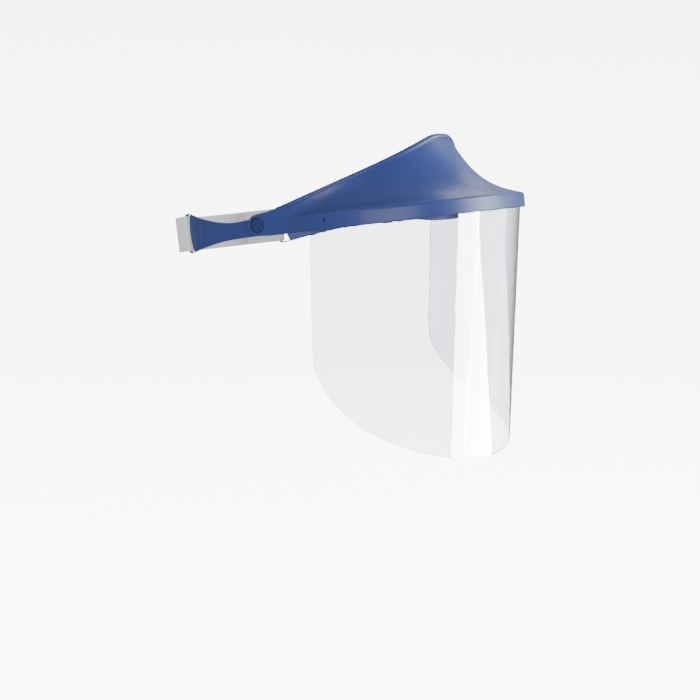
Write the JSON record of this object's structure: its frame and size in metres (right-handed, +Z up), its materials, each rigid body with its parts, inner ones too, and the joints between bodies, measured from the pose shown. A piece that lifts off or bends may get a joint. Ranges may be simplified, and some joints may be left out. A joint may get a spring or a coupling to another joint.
{
  "type": "face shield",
  "caption": "Head-worn face shield: clear curved window on a flip-up brimmed crown, on a moulded headband with an elastic rear strap.",
  "frame": {"origin": "on the crown's pivot axis, midway between the two temple pivots, at the middle of the wearer's head", "axes": "worn upright: +X towards the wearer's left, -Y forward out of the face, +Z up. The headband and the brim rise 7.4 degrees towards the front"},
  "size_m": [0.192, 0.2379, 0.2063],
  "materials": {
    "moulded_plastic": "satin royal blue injection-moulded plastic",
    "clear_sheet": "clear polished plastic sheet, slightly grey at the edges",
    "foam": "soft dark foam",
    "elastic": "white woven elastic webbing",
    "hook_tape": "white hook tape",
    "rivet_plastic": "royal blue moulded plastic, a little darker than the crown",
    "washer_plastic": "natural white low-friction plastic"
  },
  "bodies": {
    "headband": {"headband": "moulded_plastic", "brow_pad": "foam", "rear_strap": "elastic", "hook_patch_left": "hook_tape", "hook_patch_right": "hook_tape", "pivot_pin_left": "rivet_plastic", "pivot_pin_right": "rivet_plastic", "pivot_washer_left": "washer_plastic", "pivot_washer_right": "washer_plastic", "pivot_socket_left": "rivet_plastic", "pivot_socket_right": "rivet_plastic"},
    "visor": {"crown": "moulded_plastic", "window": "clear_sheet"}
  },
  "joints": [
    {"name": "visor_flip", "type": "hinge", "parent": "headband", "child": "visor", "pos_m": [0, 0, 0], "axis": [-1, 0, 0], "range_deg": [0, 75]}
  ]
}
